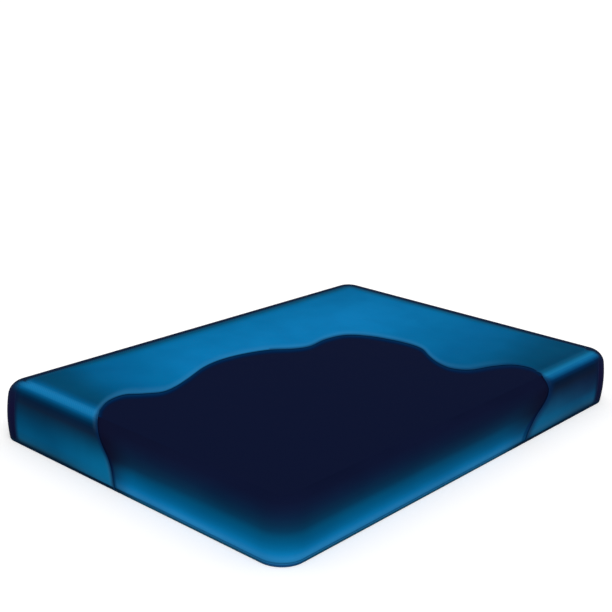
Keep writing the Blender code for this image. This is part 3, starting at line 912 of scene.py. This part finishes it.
DOUBLER_RADIUS = 0.055
NECK_BORE = 0.014
DOUBLER_RINGS = (NECK_BORE, 0.03, 0.045, 0.051, 0.0535, DOUBLER_RADIUS)
RING_POINTS = 96
rings = []
for radius in DOUBLER_RINGS:
    ring = []
    for angle in np.linspace(0, 4 * QUARTER, RING_POINTS, endpoint=False):
        across, up = radius * math.cos(angle), radius * math.sin(angle)
        sag = BULGE_RADIUS - math.sqrt(BULGE_RADIUS ** 2 - up ** 2)
        ring.append((across, LENGTH / 2 + TAPE_LIFT - sag, WALL_MIDDLE + up))
    rings.append(ring)
doubler = sheet("valve_doubler", rings, TAPE_THICKNESS, closed=True)

doubled = Finish("valve_doubler_vinyl", Roughness=0.42, Specular_IOR_Level=0.02)
from_axis = doubled.node("VectorMath", {"operation": "DISTANCE"}, {
    0: doubled.place, 1: (0.0, LENGTH / 2, WALL_MIDDLE)}, 1)
weld_band = from_axis.rise(0.043, 0.047) * from_axis.rise(0.051, 0.054, 1.0, 0.0)
doubled.colour(doubled.mix(weld_band * 0.6, look(3, 84, 132), look(2, 58, 98)))
doubled.roughness(weld_band * 0.15 + 0.38)
doubled.relief(weld_band * press_ribs(doubled, 180.0), 0.0003)
doubler.data.materials.append(doubled.material)
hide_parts("valve_patch")
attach(doubler, "mattress")


def moulded(name, tone, shade, rough, gloss, grain):
    """Finish of a moulded piece: slightly uneven tone and a fine texture."""
    finish = Finish(name, Roughness=rough, Specular_IOR_Level=gloss)
    flow = finish.noise(90.0, 1.0)
    finish.colour(finish.mix(flow.rise(0.3, 0.7), shade, tone))
    finish.roughness(flow * 0.1 + (rough - 0.05))
    finish.relief(finish.noise(grain, 2.0), 0.00003)
    return finish.material


valve_finishes = {
    "valve_body": moulded(
        "moulded_blue_neck", look(14, 88, 144), look(10, 80, 134), 0.38, 0.05, 1500.0),
    "valve_plug": moulded(
        "moulded_white_stopper", look(214, 219, 221), look(208, 214, 216), 0.45, 0.3, 1200.0),
    "cap_gasket": moulded(
        "black_rubber_gasket", look(30, 30, 32), look(24, 24, 26), 0.7, 0.2, 2000.0),
    "valve_cap": moulded(
        "moulded_white_cap", look(216, 221, 223), look(211, 216, 219), 0.36, 0.35, 1200.0),
}
for node, finish in valve_finishes.items():
    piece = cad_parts[node]
    piece.data.materials.clear()
    piece.data.materials.append(finish)

# The thread is a ridge that winds right-handed round the neck, low enough for the cap's slack, and
# runs out at both ends. Its profile gives places along the neck and heights over it.
NECK_RADIUS = 0.0190
THREAD_PITCH = 0.003
THREAD_TURNS = 3
THREAD_END = 0.0016
THREAD_HEIGHT = 0.0003
THREAD_PROFILE = (
    (0.0007, -0.0002), (0.0002, THREAD_HEIGHT), (-0.0002, THREAD_HEIGHT), (-0.0007, -0.0002))
TURN_STEPS = 48
RUN_OUT_STEPS = 10
neck_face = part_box("valve_body")[1].y
steps = THREAD_TURNS * TURN_STEPS
ridge = []
for step in range(steps + 1):
    angle = step / TURN_STEPS * 4 * QUARTER
    along = neck_face - THREAD_END - (steps - step) / TURN_STEPS * THREAD_PITCH
    full = min(1.0, step / RUN_OUT_STEPS, (steps - step) / RUN_OUT_STEPS)
    for beside_ridge, height in THREAD_PROFILE:
        radius = NECK_RADIUS + (height + THREAD_HEIGHT) * full - THREAD_HEIGHT
        up = WALL_MIDDLE + radius * math.cos(angle)
        ridge.append((radius * math.sin(angle), along + beside_ridge, up))
ridge = np.array(ridge).reshape(steps + 1, len(THREAD_PROFILE), 3)
first_end = list(range(len(THREAD_PROFILE)))
last_end = [steps * len(THREAD_PROFILE) + corner for corner in first_end[::-1]]
ridge_faces = grid_faces(ridge, True) + [first_end, last_end]
thread = new_piece("neck_thread_ridge", ridge.reshape(-1, 3), ridge_faces)
thread.data.materials.append(valve_finishes["valve_body"])
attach(thread, "mattress")

# The room
#
# A pale floor that keeps a faint shadow, a white surround and two broad, soft suns. The camera
# stands off the near corner and a little above the mattress, and is tilted a little.

FLOOR_REACH = 60.0
FLOOR_DROP = 0.0004
FLOOR_GLOW = 0.2
WHITE = (1.0, 1.0, 1.0, 1.0)
floor_mesh = bpy.data.meshes.new("floor")
floor_corners = [
    (x * FLOOR_REACH, y * FLOOR_REACH, -FLOOR_DROP) for x, y in ((-1, -1), (1, -1), (1, 1), (-1, 1))]
floor_mesh.from_pydata(floor_corners, [], [(0, 1, 2, 3)])
floor = bpy.data.objects.new("floor", floor_mesh)
bpy.context.scene.collection.objects.link(floor)
ground = Finish("pale_floor", Roughness=0.9, Specular_IOR_Level=0.0)
ground.colour(ground.mix(ground.noise(0.7, 2.0), look(247, 247, 248), look(250, 250, 250)))
plain = Wire(ground, ground.shader.outputs["BSDF"])
own_light = ground.node("Emission", {}, {"Color": WHITE, "Strength": FLOOR_GLOW})
brighter = ground.node("AddShader", {}, {0: plain, 1: own_light})
seen = ground.node("LightPath", {}, {}, "Is Camera Ray")
shown = ground.node("MixShader", {}, {0: seen, 1: plain, 2: brighter})
ground.feed(ground.tree.nodes["Material Output"].inputs["Surface"], shown)
floor.data.materials.append(ground.material)

SURROUND_LIGHT = 0.66
studio = bpy.data.worlds.new("studio")
bpy.context.scene.world = studio
studio.use_nodes = True
surround = Nodes(studio.node_tree)
backdrop = surround.tree.nodes["Background"]
surround.feed(backdrop.inputs["Color"], WHITE)
direct, through, mirrored = (
    surround.node("LightPath", {}, {}, f"Is {way} Ray") for way in ("Camera", "Transmission", "Glossy"))
clear_white = surround.math("MAXIMUM", surround.math("MAXIMUM", direct, through), mirrored)
surround.feed(backdrop.inputs["Strength"], clear_white.rise(0.0, 1.0, SURROUND_LIGHT, 1.0))

SUN_ANGLE = math.radians(40)
SUNS = {"key": (1.0, (-0.45, 0.35, -0.82)), "fill": (0.5, (-0.62, 0.70, -0.35))}
for name, (energy, aim) in SUNS.items():
    lamp = bpy.data.lights.new(name, "SUN")
    lamp.energy = energy
    lamp.angle = SUN_ANGLE
    sun = bpy.data.objects.new(name, lamp)
    sun.rotation_euler = Vector(aim).to_track_quat("-Z", "Y").to_euler()
    bpy.context.scene.collection.objects.link(sun)

EYE = Vector((2.8889, -3.4355, 1.854))
AZIMUTH = math.radians(41.102)
ELEVATION = math.radians(17.066)
ROLL = math.radians(1.808)
SENSOR_WIDTH = 36.0
FOCAL_LENGTH = 67.94
SEEN_UP_TO = 200.0
lens = bpy.data.cameras.new("camera")
lens.sensor_width = SENSOR_WIDTH
lens.lens = FOCAL_LENGTH
lens.clip_end = SEEN_UP_TO
camera = bpy.data.objects.new("camera", lens)
camera.matrix_world = (
    Matrix.Translation(EYE) @ Matrix.Rotation(AZIMUTH, 4, "Z")
    @ Matrix.Rotation(QUARTER - ELEVATION, 4, "X") @ Matrix.Rotation(ROLL, 4, "Z"))
bpy.context.scene.collection.objects.link(camera)
bpy.context.scene.camera = camera
bpy.context.scene.view_settings.view_transform = "Standard"
